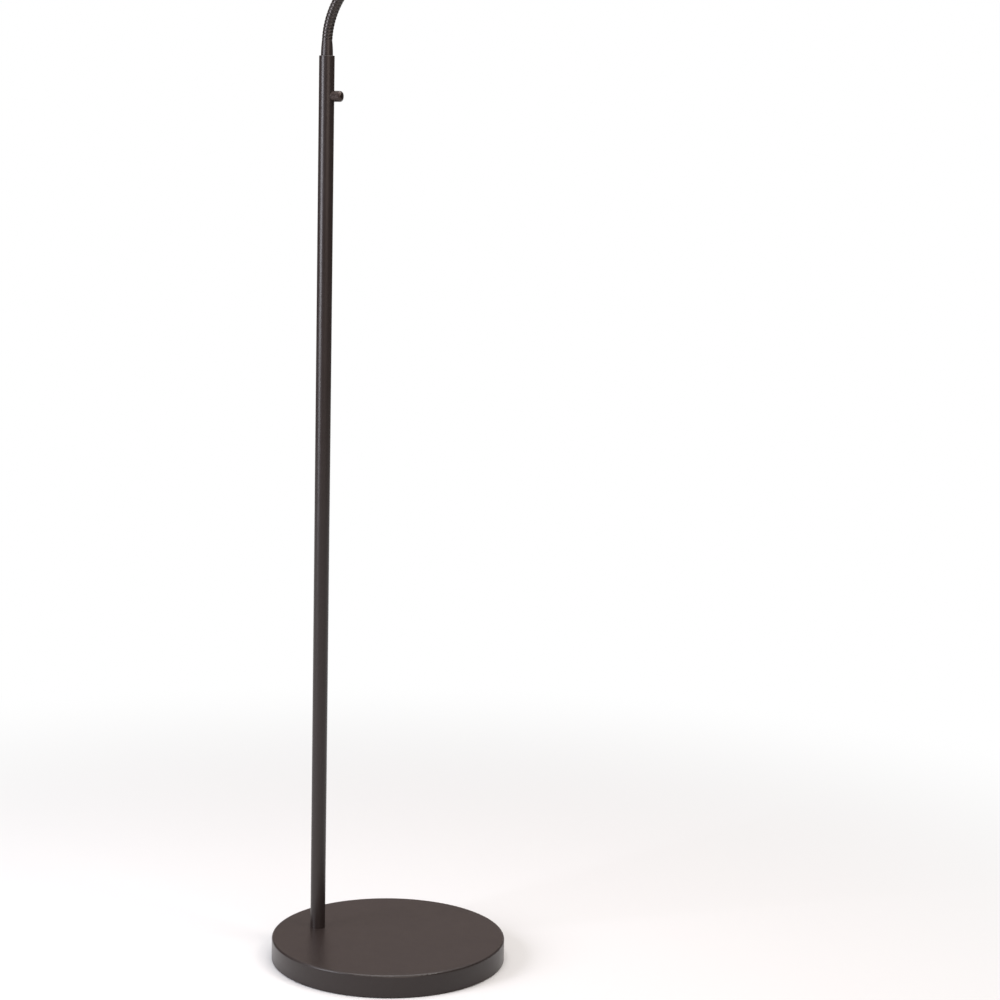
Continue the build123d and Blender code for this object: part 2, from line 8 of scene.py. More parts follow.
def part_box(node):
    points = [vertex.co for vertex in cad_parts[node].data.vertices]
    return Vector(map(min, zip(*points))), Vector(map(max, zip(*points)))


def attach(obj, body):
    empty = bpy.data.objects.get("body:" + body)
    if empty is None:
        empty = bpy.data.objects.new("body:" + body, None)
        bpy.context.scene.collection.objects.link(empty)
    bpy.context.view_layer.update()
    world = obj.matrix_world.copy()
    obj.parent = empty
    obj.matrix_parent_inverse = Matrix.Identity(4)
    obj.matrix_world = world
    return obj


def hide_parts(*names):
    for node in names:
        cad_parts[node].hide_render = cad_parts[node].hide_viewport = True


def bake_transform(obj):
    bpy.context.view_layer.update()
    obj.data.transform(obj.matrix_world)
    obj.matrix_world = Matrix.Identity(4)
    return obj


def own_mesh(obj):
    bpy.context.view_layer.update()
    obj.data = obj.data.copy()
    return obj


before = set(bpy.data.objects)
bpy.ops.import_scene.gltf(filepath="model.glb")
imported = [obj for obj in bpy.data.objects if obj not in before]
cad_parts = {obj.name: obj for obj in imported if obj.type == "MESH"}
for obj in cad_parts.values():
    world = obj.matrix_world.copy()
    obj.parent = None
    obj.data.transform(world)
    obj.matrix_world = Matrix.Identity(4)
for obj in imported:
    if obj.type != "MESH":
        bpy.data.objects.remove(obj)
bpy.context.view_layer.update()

# ------------------------------------------------------------------ weight and pad
# A grey-iron disc gives the base its weight. It is cast in sand, painted thin and never seen from above.
# A disc of black EVA foam is glued under its rim, so that the lamp stands quiet on a floor.

MM = 0.001


def linear(code):
    """A colour written as sRGB hex, turned to the linear values that a shader takes."""
    value = np.array([int(code[k:k + 2], 16) for k in (1, 3, 5)]) / 255
    value = np.where(value <= 0.04045, value / 12.92, ((value + 0.055) / 1.055) ** 2.4)
    return (*value.tolist(), 1.0)


def new_material(name):
    """An empty node material, its surface shader and the object's own coordinates in metres."""
    material = bpy.data.materials.new(name)
    material.use_nodes = True
    shader = material.node_tree.nodes["Principled BSDF"]
    place = material.node_tree.nodes.new("ShaderNodeTexCoord").outputs["Object"]
    return material, shader, place


def add(material, kind, inputs, **settings):
    """Adds one node with its settings. An input is a value, or the output that feeds it."""
    made = material.node_tree.nodes.new(kind)
    for name, value in settings.items():
        setattr(made, name, value)
    for socket, value in inputs.items():
        if isinstance(value, bpy.types.NodeSocket):
            material.node_tree.links.new(value, made.inputs[socket])
        else:
            made.inputs[socket].default_value = value
    return made


def feed(material, shader, **outputs):
    """Links outputs to the surface shader's sockets; base_color goes to Base Color, and so on."""
    for name, output in outputs.items():
        socket = shader.inputs[name.replace("_", " ").title()]
        material.node_tree.links.new(output, socket)


def grain(material, place, size, detail=3.0, stretch=(1, 1, 1)):
    """Noise whose lumps are about size mm across, longer along an axis whose stretch is over 1."""
    scale = [1 / (size * MM * s) for s in stretch]
    sized = add(material, "ShaderNodeMapping", {"Vector": place, "Scale": scale})
    noise = add(material, "ShaderNodeTexNoise", {"Vector": sized.outputs[0], "Scale": 1.0, "Detail": detail})
    return noise.outputs["Fac"]


def between(material, factor, low, high):
    """A factor from 0.3 to 0.7, which is what noise gives, spread between two values."""
    spread = {"Value": factor, "From Min": 0.3, "From Max": 0.7, "To Min": low, "To Max": high}
    return add(material, "ShaderNodeMapRange", spread).outputs[0]


def tint(material, factor, first, second):
    """The colour between two sRGB hex colours that a factor from 0.3 to 0.7 picks."""
    mixed = {"Factor": between(material, factor, 0, 1), 6: linear(first), 7: linear(second)}
    return add(material, "ShaderNodeMix", mixed, data_type="RGBA").outputs[2]


def relief(material, height, depth, strength=1.0):
    """A bump whose height, from 0 to 1, is depth mm."""
    bump = {"Height": height, "Distance": depth * MM, "Strength": strength}
    return add(material, "ShaderNodeBump", bump).outputs[0]


def dress(material, *nodes):
    """Gives CAD nodes a material."""
    for name in nodes:
        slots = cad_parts[name].data.materials
        slots.clear()
        slots.append(material)


def cast_iron():
    """Grey cast iron, sand cast and dipped: dark, dull, with the sand's lumps, drawn 1.5 mm across so
    that they show."""
    material, shader, place = new_material("grey_iron_sand_cast")
    lumps = grain(material, place, 1.5)
    patches = grain(material, place, 30)
    shader.inputs["Metallic"].default_value = 0.4
    feed(
        material,
        shader,
        base_color=tint(material, patches, "#45413e", "#5a5450"),
        roughness=between(material, lumps, 0.55, 0.8),
        normal=relief(material, lumps, 0.25),
    )
    return material


def foam():
    """Closed-cell EVA foam, cut from sheet: matt black with cut cells, drawn 0.9 mm across so that
    they show."""
    material, shader, place = new_material("eva_foam_cut")
    cells = add(material, "ShaderNodeTexVoronoi", {"Vector": place, "Scale": 1 / (0.9 * MM)})
    patches = grain(material, place, 8)
    feed(
        material,
        shader,
        base_color=tint(material, patches, "#1f1d1c", "#2a2827"),
        roughness=between(material, patches, 0.85, 0.98),
        normal=relief(material, cells.outputs["Distance"], 0.12),
    )
    return material


dress(cast_iron(), "base_weight")
dress(foam(), "base_pad")

# ------------------------------------------------------------------ base cover
# The cover is spun from 1.5 mm steel sheet with a rolled edge and drops over the weight. It is powder
# coated in a dark bronze, like the pole, the ferrules and the head, and shows the pole in its satin.


def powder_coat():
    """Polyester powder coat, satin dark bronze, sprayed and baked: an even skin with faint orange
    peel, drawn at 1.4 mm so that it shows, a little metal fleck and thinner, duller patches."""
    material, shader, place = new_material("polyester_powder_coat_bronze")
    peel = grain(material, place, 1.4, detail=1.5)
    patches = grain(material, place, 45)
    fleck = grain(material, place, 0.5, detail=0)
    shader.inputs["Specular IOR Level"].default_value = 0.42
    feed(
        material,
        shader,
        base_color=tint(material, fleck, "#2d2624", "#342c2a"),
        roughness=between(material, patches, 0.3, 0.36),
        normal=relief(material, peel, 0.0025),
    )
    return material


coat = powder_coat()
dress(coat, "base_cover")

# ------------------------------------------------------------------ cord inlet
# A bushing of black nylon snaps into the cover's rim behind the pole. Behind it a nylon clamp, held by
# two screws, grips the inner lead, which turns up through the stud into the pole.


def moulding():
    """Nylon 66, injection moulded in a spark-eroded tool: black and dull, its grain drawn 0.6 mm
    across so that it shows."""
    material, shader, place = new_material("nylon_66_moulded")
    spark = grain(material, place, 0.6, detail=2)
    patches = grain(material, place, 6)
    feed(
        material,
        shader,
        base_color=tint(material, patches, "#151413", "#1d1b1a"),
        roughness=between(material, spark, 0.45, 0.62),
        normal=relief(material, spark, 0.02),
    )
    return material


def sheath():
    """PVC sheath, extruded: dark, half gloss, with faint upright draw lines, as along the riser."""
    material, shader, place = new_material("pvc_sheath_extruded")
    lines = grain(material, place, 0.5, stretch=(1, 1, 30))
    feed(
        material,
        shader,
        base_color=tint(material, lines, "#1b1917", "#24211f"),
        roughness=between(material, lines, 0.38, 0.5),
        normal=relief(material, lines, 0.01),
    )
    return material


def zinc_plate():
    """Mild steel, turned or pressed and bright zinc plated: pale grey metal with fine tool lines."""
    material, shader, place = new_material("steel_zinc_plated")
    lines = grain(material, place, 0.3, stretch=(12, 12, 1))
    patches = grain(material, place, 5)
    shader.inputs["Metallic"].default_value = 1.0
    feed(
        material,
        shader,
        base_color=tint(material, patches, "#b9b8b4", "#cfcdc8"),
        roughness=between(material, lines, 0.22, 0.38),
        normal=relief(material, lines, 0.008),
    )
    return material


nylon = moulding()
pvc = sheath()
zinc = zinc_plate()
dress(nylon, "cord_gland", "cord_clamp")
dress(zinc, "clamp_screws")

# the lead's line goes in from the gland, round a soft turn and up the pole to the switch
low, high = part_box("base_lead")
base_lead_radius = 3.6 / 2 * MM
lead_turn = 10 * MM
riser_x, lead_height = high.x - base_lead_radius, low.z + base_lead_radius
lead_route = [
    (low.x, 0, lead_height),
    (riser_x - lead_turn, 0, lead_height),
    (riser_x, 0, lead_height),
    (riser_x, 0, lead_height + lead_turn),
    (riser_x, 0, high.z),
]
line = bpy.data.curves.new("lead_route", "CURVE")
line.dimensions = "3D"
line.bevel_depth = base_lead_radius
line.bevel_resolution = 4
line.use_fill_caps = True
spline = line.splines.new("NURBS")
spline.points.add(len(lead_route) - 1)
for point, place in zip(spline.points, lead_route):
    point.co = (*place, 1)
spline.order_u = 3
spline.use_endpoint_u = True
spline.resolution_u = 10
drawn = bpy.data.objects.new("lead_route", line)
bpy.context.scene.collection.objects.link(drawn)
bpy.context.view_layer.update()
lead = bpy.data.objects.new("lead_base", bpy.data.meshes.new_from_object(drawn))
bpy.data.objects.remove(drawn)
bpy.context.scene.collection.objects.link(lead)
lead.data.materials.clear()
lead.data.materials.append(pvc)
lead.data.shade_smooth()
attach(lead, "stand")
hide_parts("base_lead")

# ------------------------------------------------------------------ pole and its fixing
# The pole is a 16 mm steel tube, powder coated. A hollow M10 stud screws into a bush in its foot, goes
# through cover and weight, and is pulled tight from below by a nut over a lock washer and a washer.

dress(zinc, "pole_foot_bush", "base_stud", "stud_washer", "stud_lock_washer", "stud_nut")
dress(coat, "pole")

# ------------------------------------------------------------------ push switch
# A moulded switch sits as a plug in the pole's bore. Its domed button, plated ABS, comes through a
# hole in the tube's front and springs back on a wound wire spring.


def plated_abs():
    """ABS, moulded in a polished tool, plated and toned to a dark bronze: a brown-black satin metal,
    waved a little as thin plating over plastic is."""
    material, shader, place = new_material("abs_plated_bronze")
    waves = grain(material, place, 4, detail=0)
    shader.inputs["Metallic"].default_value = 0.5
    feed(
        material,
        shader,
        base_color=tint(material, waves, "#352b28", "#3f3430"),
        roughness=between(material, waves, 0.26, 0.32),
        normal=relief(material, waves, 0.004),
    )
    return material


def surface(name, sheets, material):
    """A mesh of sheets, each a grid of points in mm and the way they face. Four neighbours make a face
    and points that fall together are one. A sheet's last column joins its first, step rows on."""
    points = np.concatenate([grid.reshape(-1, 3) for grid, facing, step in sheets])
    facing = np.concatenate([facing.reshape(-1, 3) for grid, facing, step in sheets])
    faces, start = [], 0
    for grid, _, step in sheets:
        rows, columns = grid.shape[:2]
        index = start + np.arange(rows * columns).reshape(rows, columns)
        start += rows * columns
        joined = index[np.minimum(np.arange(rows) + step, rows - 1), :1]
        right = np.concatenate([index[:, 1:], joined], 1)
        faces.append(np.stack([index[:-1], right[:-1], right[1:], index[1:]], -1).reshape(-1, 4))
    _, first, same = np.unique(np.round(points, 5), axis=0, return_index=True, return_inverse=True)
    faces = same.reshape(-1)[np.concatenate(faces)]
    kept = faces != np.roll(faces, -1, 1)
    count = kept.sum(1)
    quads, triangles = faces[count == 4], faces[count == 3][kept[count == 3]].reshape(-1, 3)
    mesh = bpy.data.meshes.new(name)
    corners = (points[first] * MM).tolist()
    mesh.from_pydata(corners, [], quads.tolist() + triangles.tolist(), shade_flat=False)
    mesh.normals_split_custom_set_from_vertices(facing[first].tolist())
    mesh.materials.append(material)
    piece = bpy.data.objects.new(name, mesh)
    bpy.context.scene.collection.objects.link(piece)
    return piece


dress(nylon, "switch_body")
dress(plated_abs(), "button_cap")

# the spring's middle line winds round the X axis, and its wire's skin goes round that line
low, high = (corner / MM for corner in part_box("return_spring"))
spring_turns = 7
rows_per_turn, wire_sides = 24, 12
wire_radius = 0.45 / 2
coil_radius = (high.y - low.y) / 2 - wire_radius
coil_length = high.x - low.x - 2 * wire_radius
along, skin = np.meshgrid(
    np.linspace(0, 1, rows_per_turn * spring_turns + 1),
    np.linspace(0, 2 * np.pi, wire_sides, endpoint=False),
    indexing="ij",
)
turn = 2 * np.pi * spring_turns * along
nought = np.zeros(turn.shape)
out = np.stack([nought, np.cos(turn), np.sin(turn)], -1)
around = np.stack([nought, -np.sin(turn), np.cos(turn)], -1)
lengthways = np.array([1.0, 0.0, 0.0])
ahead = coil_length * lengthways + 2 * np.pi * spring_turns * coil_radius * around
ahead /= np.linalg.norm(ahead, axis=-1, keepdims=True)
facing = np.cos(skin)[..., None] * out + np.sin(skin)[..., None] * np.cross(ahead, out)
foot = np.array([low.x + wire_radius, 0, (low.z + high.z) / 2])
middle = foot + coil_length * along[..., None] * lengthways + coil_radius * out
# a row on the middle line at each end closes the wire
grid = np.concatenate([middle[:1], middle + wire_radius * facing, middle[-1:]])
facing = np.concatenate([-ahead[:1], facing, ahead[-1:]])
spring = surface("spring_wound", [(grid, facing, 0)], zinc)
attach(spring, "stand")
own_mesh(spring)
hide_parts("return_spring")

# ------------------------------------------------------------------ ferrule on the pole
# A turned steel ferrule closes the pole. Its shank is held in the tube by a grub screw, its outside
# sweeps in from the pole's width to the neck's, and a spigot goes up into the neck.

pole_x = sum(v.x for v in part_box("pole")) / 2 / MM
pole_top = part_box("pole")[1].z / MM
ferrule_height = 15.7
ferrule_foot = 12.4 / 2
ferrule_tip = 10.5 / 2
ferrule_edge = 0.25
shank_radius = 13.5 / 2
shank_length = 18.0
shank_sink = 0.5
spigot_radius = 6.0 / 2
spigot_length = 6.0
neck_bore = 4.4 / 2


def outline(corners, steps=6):
    """A closed outline round corners (radius, height, rounding) in mm: each corner is an arc that
    touches both its sides. Gives the points and the outline's direction at each."""
    corner, rounding = np.array(corners, float)[:, :2], np.array(corners, float)[:, 2]
    side = np.roll(corner, -1, 0) - corner
    length = np.linalg.norm(side, axis=1)
    side /= length[:, None]
    before = np.roll(side, 1, 0)
    turn = np.arctan2(before[:, 0] * side[:, 1] - before[:, 1] * side[:, 0], (before * side).sum(1))
    half = np.maximum(np.tan(np.abs(turn) / 2), 1e-9)
    cut = np.minimum(rounding * half, 0.49 * np.minimum(length, np.roll(length, 1)))
    bend = np.sign(turn) * cut / half
    share = np.linspace(0, 1, steps + 1)
    angle = np.arctan2(before[:, 1], before[:, 0])[:, None] + turn[:, None] * share
    ahead = np.stack([np.cos(angle), np.sin(angle)], -1)
    left = np.stack([-np.sin(angle), np.cos(angle)], -1)
    centre = corner - before * cut[:, None] + left[:, 0] * bend[:, None]
    points = centre[:, None] - left * bend[:, None, None]
    return points.reshape(-1, 2), ahead.reshape(-1, 2)


def turned(name, corners, foot, axis, material, segments=96):
    """A turned piece: its outline (radius, height) goes round the axis from foot, so a point is the foot
    plus the axis by its height and the outward direction by its radius."""
    points, ahead = (np.concatenate([part, part[:1]]) for part in outline(corners))
    axis = np.array(axis) / np.linalg.norm(axis)
    sideways = np.array([0.0, 1.0, 0.0])
    angle = np.linspace(0, 2 * np.pi, segments, endpoint=False)[:, None]
    outward = np.cos(angle) * np.cross(sideways, axis) + np.sin(angle) * sideways
    grid = np.array(foot) + points[:, None, 1:] * axis + points[:, None, :1] * outward
    facing = ahead[:, None, 1:] * outward - ahead[:, None, :1] * axis
    return surface(name, [(grid, facing, 0)], material)


def sweep_in(foot, tip, height, steps=14):
    """Corners of an arc that leaves the foot's radius upright and reaches the tip's at that height:
    its radius is the foot's less the arc's own drop, from the circle through both."""
    drop = foot - tip
    arc = (height**2 + drop**2) / (2 * drop)
    turn = np.linspace(0, np.arcsin(height / arc), steps + 1)
    return [(foot - arc * (1 - np.cos(t)), arc * np.sin(t), arc) for t in turn]


ferrule_nose = [
    (spigot_radius, ferrule_height, 0.1),
    (spigot_radius, ferrule_height + spigot_length, ferrule_edge),
    (neck_bore, ferrule_height + spigot_length, ferrule_edge),
]
ferrule_shank = [
    (neck_bore, -shank_length, ferrule_edge),
    (shank_radius, -shank_length, ferrule_edge),
    (shank_radius, -shank_sink, ferrule_edge),
    (ferrule_foot, -shank_sink, 0.1),
]
flare = sweep_in(ferrule_foot, ferrule_tip, ferrule_height)
flare[-1] = (ferrule_tip, ferrule_height, ferrule_edge)
lower_outline = ferrule_shank + flare + ferrule_nose
lower = turned("ferrule_lower", lower_outline, (pole_x, 0, pole_top), (0, 0, 1), coat)
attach(lower, "stand")
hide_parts("lower_ferrule")
dress(zinc, "ferrule_grub_screw")

# ------------------------------------------------------------------ gooseneck
# The neck is two steel wires wound tight round a lead: a round wire, whose turns are the ribs, over a
# three-sided one that fills the grooves. It is lacquered dark and stays wherever it is bent.

rib_pitch = 3.5
groove_radius = 9.7 / 2
rib_height = 0.55
groove_floor = 0.01  # a lower rise, as a share of rib_height, is the groove's floor and counts as level
rib_rows, rib_columns = 12, 40
section_length = 28.0
sections = 17
bend_foot = pole_top + ferrule_height - 3.7
neck_foot = 3.7
neck_start = neck_foot + 0.25
neck_bends = [(88.0, 30.0), (600.0, 22.0), (115.0, 98.0)]  # radius in mm, turn in degrees
bore_rows = 9


def neck_line(s):
    """The neck's middle line at lengths s past the foot of its bends, and its angle from upright
    there: straight, then three arcs that run on from each other, then straight again."""
    x, z = np.full(s.shape, pole_x), bend_foot + np.minimum(s, 0)
    done, lean = 0.0, 0.0
    reached, leaned = [0.0], [0.0]
    for radius, turn in neck_bends:
        step = np.clip((s - done) / radius, 0, radians(turn))
        x = x + radius * (np.cos(lean) - np.cos(lean + step))
        z = z + radius * (np.sin(lean + step) - np.sin(lean))
        done += radius * radians(turn)
        lean += radians(turn)
        reached.append(done)
        leaned.append(lean)
    angle = np.interp(s, reached, leaned)
    past = np.maximum(s - done, 0)
    return np.stack([x + past * np.sin(lean), np.zeros(s.shape), z + past * np.cos(lean)], -1), angle


def round_neck(s, angle, radius, slope):
    """Points round the neck, from its middle line at lengths s outwards by radius at each angle, and
    the way they face: outwards, less the way ahead by the radius's slope along the neck."""
    middle, lean = neck_line(s)
    nought = np.zeros(lean.shape)
    ahead = np.stack([np.sin(lean), nought, np.cos(lean)], -1)
    side = np.stack([np.cos(lean), nought, -np.sin(lean)], -1)
    outward = np.cos(angle)[..., None] * side + np.sin(angle)[..., None] * np.array([0.0, 1.0, 0.0])
    return middle + outward * radius[..., None], outward - ahead * slope[..., None]


def tube(name, s, angle, radius, slope, step, bore, material):
    """A tube round the neck's line, closed by its two end rings and a smooth bore inside."""
    outside = round_neck(s, angle, radius, slope)
    ends = np.array([-1, -1, 0, 0])[:, None] * np.ones(angle.shape[1], int)
    reach = np.take_along_axis(s, ends, 0)
    wide = np.take_along_axis(radius, ends, 0)
    inside = np.linspace(s[-1, 0], s[0, 0], bore_rows)[:, None] * np.ones(angle.shape[1])
    s_in = np.concatenate([reach[:1], inside, reach[-1:]])
    size = np.concatenate([wide[:1], np.full(inside.shape, bore), wide[-1:]])
    grid, facing = round_neck(s_in, np.broadcast_to(angle[:1], s_in.shape), size, np.zeros(s_in.shape))
    return surface(name, [(*outside, step), (grid, -facing, 0)], material)


def wound(name, start, end, material):
    """The wound wires from one length to another. The rows of points follow the wire, so s grows by a
    pitch round the neck, and a turn's crest is the top of a rounded square over its pitch, so that
    it is broad and the groove beside it narrow."""
    first, last = ((length - neck_start) / rib_pitch for length in (start, end))
    turns = np.arange(np.floor(first) - 1, np.ceil(last) + 1)
    across = (1 - np.cos(np.pi * np.arange(rib_rows) / rib_rows)) / 2
    row = (turns[:, None] + across).reshape(-1, 1)
    angle = np.linspace(0, 2 * np.pi, rib_columns, endpoint=False) * np.ones(row.shape)
    s = np.clip(neck_start + rib_pitch * (row + angle / (2 * np.pi)), start, end)
    phase = np.mod((s - neck_start) / rib_pitch - angle / (2 * np.pi) + 1e-9, 1)
    off = 2 * phase - 1
    rise = np.sqrt(np.maximum(1 - off**4, 0))
    steep = -4 * rib_height / rib_pitch * off**3 / np.maximum(rise, groove_floor)
    slope = np.where(rise < groove_floor, 0, steep)
    return tube(name, s, angle, groove_radius + rib_height * rise, slope, rib_rows, neck_bore, material)


def lacquered_steel():
    """Spring steel wire, wound and lacquered dark bronze: a satin skin, a little uneven."""
    material, shader, place = new_material("spring_steel_lacquered")
    patches = grain(material, place, 6)
    fine = grain(material, place, 0.7, detail=1)
    shader.inputs["Metallic"].default_value = 0.35
    feed(
        material,
        shader,
        base_color=tint(material, patches, "#322d2b", "#3f3937"),
        roughness=between(material, fine, 0.24, 0.31),
    )
    return material


lacquer = lacquered_steel()
neck_end = neck_start + sections * section_length
# each piece runs from the middle of one length to the middle of the next, over the joint between them
middles = neck_start + section_length * (np.arange(sections) + 0.5)
cuts = np.concatenate([[neck_foot], middles[1:-1], [neck_end]])
bend_ends = neck_line(middles)[0] * MM
for k in range(sections - 1):
    piece = wound(f"neck_wound_{k + 1:02d}", cuts[k], cuts[k + 1], lacquer)
    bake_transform(piece)
    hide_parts(f"neck_section_{k + 1:02d}")
# the last piece covers the last two lengths
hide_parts(f"neck_section_{sections}")

# ------------------------------------------------------------------ lead in the neck
# A thin PVC lead runs from the switch up the pole and the neck to the LED board, and bends with them.

lead_radius = 2.8 / 2
lead_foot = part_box("neck_lead")[0].z / MM - bend_foot
board_place = 39.7  # the LED board, from the neck's end
lead_rows, lead_sides = 15, 16
lead_cuts = np.concatenate([[lead_foot], middles[1:-1], [neck_end + board_place]])
round_lead = np.linspace(0, 2 * np.pi, lead_sides, endpoint=False)
for k in range(sections - 1):
    s, angle = np.meshgrid(np.linspace(*lead_cuts[k:k + 2], lead_rows), round_lead, indexing="ij")
    level = np.zeros(s.shape)
    piece = tube(f"lead_{k + 1:02d}", s, angle, level + lead_radius, level, 0, lead_radius / 2, pvc)
    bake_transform(piece)
    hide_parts("neck_lead")

# ------------------------------------------------------------------ head
# A ferrule like the pole's carries the head on a hollow M8 stud. The shade is spun aluminium, powder
# coated, and a washer and a nut inside pull it tight against the ferrule.

head_end, head_lean = neck_line(np.array([neck_end]))
head_foot = head_end[0]
head_axis = np.array([np.sin(head_lean[0]), 0, np.cos(head_lean[0])])
crown = ferrule_height
shade_length = 82.0
rim = crown + shade_length
shoulder, mouth = 40.0 / 2, 62.0 / 2
shoulder_rounding = 11.0
shade_wall = 1.0
stud_hole = 8.1 / 2
thread_depth = 9.4
skew = np.hypot(mouth - shoulder, shade_length) / shade_length


def inside_shade(along):
    """Inside radius of the shade's cone at a distance from the neck's end."""
    return shoulder + (mouth - shoulder) * (along - crown) / shade_length - shade_wall * skew


ferrule_socket = [
    (neck_bore, thread_depth, 0.1),
    (stud_hole, thread_depth, 0.1),
    (stud_hole, 0, 0.1),
]
flare[0] = (ferrule_foot, 0, 0.1)
upper_outline = ferrule_socket + flare + ferrule_nose
upper = turned("ferrule_upper", upper_outline, head_foot + head_axis * crown, -head_axis, coat)
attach(upper, "head")
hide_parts("upper_ferrule")

rim_rounding = 0.4
shade_outline = [
    (stud_hole, crown, 0.1),
    (shoulder, crown, shoulder_rounding),
    (mouth, rim, rim_rounding),
    (mouth - shade_wall * skew, rim, rim_rounding),
    (inside_shade(crown + shade_wall), crown + shade_wall, shoulder_rounding - shade_wall),
    (stud_hole, crown + shade_wall, 0.1),
]
shade = turned("shade_spun", shade_outline, head_foot, head_axis, coat, segments=144)
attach(shade, "head")
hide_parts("shade")
dress(zinc, "head_stud", "head_washer", "head_nut", "board_screws")
dress(coat, "bezel_ring")

# ------------------------------------------------------------------ lamp insert
# The LED sits on a round aluminium board, screwed to a finned heat sink. A bright spun reflector
# and a frosted acrylic disc close the shade, held by a press-fit bezel ring.


def machined_aluminium():
    """Aluminium 6063, turned and left bare: pale grey metal with faint cloudy marks."""
    material, shader, place = new_material("aluminium_machined")
    marks = grain(material, place, 2.1)
    shader.inputs["Metallic"].default_value = 1.0
    feed(
        material,
        shader,
        base_color=tint(material, marks, "#cfd0d1", "#dcdddd"),
        roughness=between(material, marks, 0.3, 0.42),
        normal=relief(material, marks, 0.01),
    )
    return material


def solder_mask():
    """White solder mask, screen printed on an aluminium board: half gloss, a little uneven."""
    material, shader, place = new_material("solder_mask_white")
    patches = grain(material, place, 3)
    feed(
        material,
        shader,
        base_color=tint(material, patches, "#e6e5df", "#efeee9"),
        roughness=between(material, patches, 0.35, 0.5),
    )
    return material


def phosphor():
    """Silicone with yellow phosphor, poured over the LED's dies: soft gloss, a little cloudy."""
    material, shader, place = new_material("silicone_phosphor")
    patches = grain(material, place, 2)
    feed(
        material,
        shader,
        base_color=tint(material, patches, "#d9b43c", "#e6c455"),
        roughness=between(material, patches, 0.25, 0.35),
    )
    return material


def bright_aluminium():
    """Aluminium, spun, polished and bright anodised: a mirror with a faint ripple."""
    material, shader, place = new_material("aluminium_bright_anodised")
    ripple = grain(material, place, 0.8)
    shader.inputs["Metallic"].default_value = 1.0
    feed(
        material,
        shader,
        base_color=tint(material, ripple, "#e3e4e6", "#ecedee"),
        roughness=between(material, ripple, 0.08, 0.16),
        normal=relief(material, ripple, 0.006),
    )
    return material


def frosted_acrylic():
    """Acrylic, moulded milky with a frosted face: passes two thirds of the light, well blurred."""
    material, shader, place = new_material("acrylic_frosted")
    frost = grain(material, place, 0.5, detail=2)
    shader.inputs["IOR"].default_value = 1.49
    shader.inputs["Transmission Weight"].default_value = 0.65
    feed(
        material,
        shader,
        base_color=tint(material, frost, "#f0ede6", "#f8f5ef"),
        roughness=between(material, frost, 0.35, 0.5),
        normal=relief(material, frost, 0.02),
    )
    return material


dress(machined_aluminium(), "heat_sink")
dress(solder_mask(), "led_board")
dress(phosphor(), "led_chip")
dress(bright_aluminium(), "reflector")
dress(frosted_acrylic(), "lens")

# ------------------------------------------------------------------ studio
# A pale floor in a white room. Felt drapes hang round the set, pale behind it and grey elsewhere, and
# only reflections see them. A soft lamp hangs overhead, a tall one is on the left, weak ones right.


def seen(material):
    """1 for rays from the camera, from a gloss or through glass, which see the white room."""
    rays = add(material, "ShaderNodeLightPath", {}).outputs
    first = {0: rays["Is Camera Ray"], 1: rays["Is Glossy Ray"]}
    either = add(material, "ShaderNodeMath", first, operation="MAXIMUM")
    every = {0: either.outputs[0], 1: rays["Is Transmission Ray"]}
    return add(material, "ShaderNodeMath", every, operation="MAXIMUM").outputs[0]


def stage_piece(name, points, faces, material):
    """A flat-faced piece of the studio, in metres."""
    mesh = bpy.data.meshes.new(name)
    mesh.from_pydata(points, [], faces)
    mesh.materials.append(material)
    piece = bpy.data.objects.new(name, mesh)
    bpy.context.scene.collection.objects.link(piece)
    return piece


room_light = 0.25
world = bpy.data.worlds.new("studio_room")
bpy.context.scene.world = world
world.use_nodes = True
background = world.node_tree.nodes["Background"]
background.inputs["Color"].default_value = (1, 1, 1, 1)
strength = {"Value": seen(world), "To Min": room_light, "To Max": 1.0}
brightness = add(world, "ShaderNodeMapRange", strength).outputs[0]
world.node_tree.links.new(brightness, background.inputs["Strength"])

# the floor is matt white paint near the lamp, where it holds the shadow, and runs out into the white
# of the room
floor_reach = 8.0
shadow_reach = (0.3, 1.3)
paint, shader, place = new_material("floor_paint_matt")
shader.inputs["Roughness"].default_value = 0.9
shader.inputs["Specular IOR Level"].default_value = 0.0
white = {"Value": seen(paint), "To Min": 0.3, "To Max": 0.88}
feed(paint, shader, base_color=add(paint, "ShaderNodeMapRange", white).outputs[0])
away = add(paint, "ShaderNodeVectorMath", {0: place}, operation="LENGTH").outputs["Value"]
fade = {"Value": away, "From Min": shadow_reach[0], "From Max": shadow_reach[1]}
faded = add(paint, "ShaderNodeMapRange", fade, interpolation_type="SMOOTHSTEP").outputs[0]
share = add(paint, "ShaderNodeMath", {0: faded, 1: seen(paint)}, operation="MULTIPLY").outputs[0]
glow = add(paint, "ShaderNodeEmission", {"Color": (1, 1, 1, 1), "Strength": 1.0}).outputs[0]
mixed = add(paint, "ShaderNodeMixShader", {0: share, 1: shader.outputs[0], 2: glow}).outputs[0]
paint.node_tree.links.new(mixed, paint.node_tree.nodes["Material Output"].inputs["Surface"])
corners = [(x * floor_reach, y * floor_reach, 0) for x, y in ((-1, -1), (1, -1), (1, 1), (-1, 1))]
stage_piece("studio_floor", corners, [(0, 1, 2, 3)], paint)


def cloth(name, shade, dark):
    """Wool felt, pressed: dull, with soft clouds of painted shade and light that stand for the waves it
    would hang in, as the drape itself is flat.
    """
    material, shader, place = new_material(name)
    shader.inputs["Roughness"].default_value = 1.0
    # painted shade: the darker felt colour, laid in broad noise clouds, stands for the shaded side of folds
    feed(material, shader, base_color=tint(material, grain(material, place, 300), dark, shade))
    return material


drape_radius, drape_height, drape_sides = 3.2, 2.6, 40
behind, opening = 108.4, 60.0


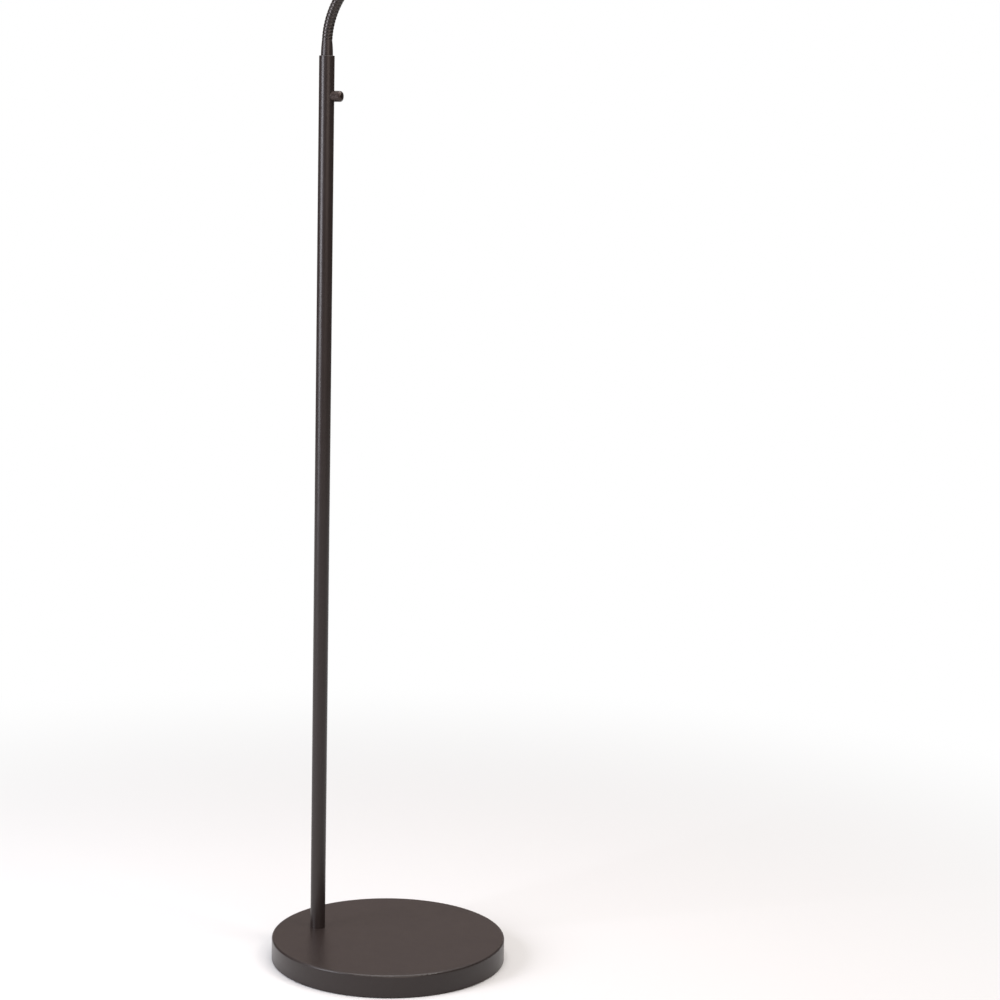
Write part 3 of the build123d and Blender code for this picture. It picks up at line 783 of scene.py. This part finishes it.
def drape(name, start, end, material):
    """A length of drape, hung round the set from one heading to another, in degrees."""
    turn = np.radians(np.linspace(start, end, drape_sides + 1))
    foot = np.stack([drape_radius * np.cos(turn), drape_radius * np.sin(turn), np.zeros(len(turn))], -1)
    side = np.arange(drape_sides)
    around = np.stack([side, side + drape_sides + 1, side + drape_sides + 2, side + 1], -1)
    points = np.concatenate([foot, foot + [0, 0, drape_height]])
    hung = stage_piece(name, points.tolist(), around.tolist(), material)
    for kind in ("camera", "diffuse", "transmission", "shadow"):
        setattr(hung, f"visible_{kind}", False)


edges = behind - opening / 2, behind + opening / 2
grey = cloth("wool_felt_grey", "#5c5856", "#54504e")
pale = cloth("wool_felt_pale", "#e6d6cf", "#dccdc6")
drape("studio_drape", edges[1], edges[0] + 360, grey)
drape("studio_drape_behind", *edges, pale)


def lamp(name, place, aim, width, height, power, colour):
    """A soft rectangular lamp at a place, in metres, turned to a point."""
    light = bpy.data.lights.new(name, "AREA")
    light.shape = "RECTANGLE"
    light.size, light.size_y = width, height
    light.energy = power
    light.color = linear(colour)[:3]
    holder = bpy.data.objects.new(name, light)
    bpy.context.scene.collection.objects.link(holder)
    away = Vector(place) - Vector(aim)
    holder.matrix_world = Matrix.Translation(place) @ away.to_track_quat("Z", "Y").to_matrix().to_4x4()


lamp("lamp_overhead", (0.1, 0.1, 2.4), (0, 0, 0), 1.6, 1.6, 32, "#fffaf7")
lamp("lamp_left", (-1.17, -1.21, 0.95), (-0.08, 0, 0.85), 0.75, 1.2, 28, "#f6f6ff")
lamp("lamp_right", (1.5, -1.7, 1.3), (0, 0, 0.9), 1.3, 0.9, 11, "#ffe9de")
lamp("lamp_high", (1.37, -0.25, 1.95), (0, 0, 0.9), 0.6, 0.6, 10, "#fff6f0")

# the camera stands where the base's ellipse and the pole's edges in the photograph put it
camera_data = bpy.data.cameras.new("camera")
camera_data.sensor_width = 36
camera_data.lens = 84.26
camera_data.clip_end = 50
camera = bpy.data.objects.new("camera", camera_data)
bpy.context.scene.collection.objects.link(camera)
bpy.context.scene.camera = camera
camera_place = (0.76375, -2.30035, 0.87349)
heading, pitch, roll = 15.77, -8.74, 1.28
camera.matrix_world = (
    Matrix.Translation(camera_place)
    @ Matrix.Rotation(radians(heading), 4, "Z")
    @ Matrix.Rotation(radians(90 + pitch), 4, "X")
    @ Matrix.Rotation(radians(roll), 4, "Z")
)

bpy.context.scene.view_settings.view_transform = "Standard"
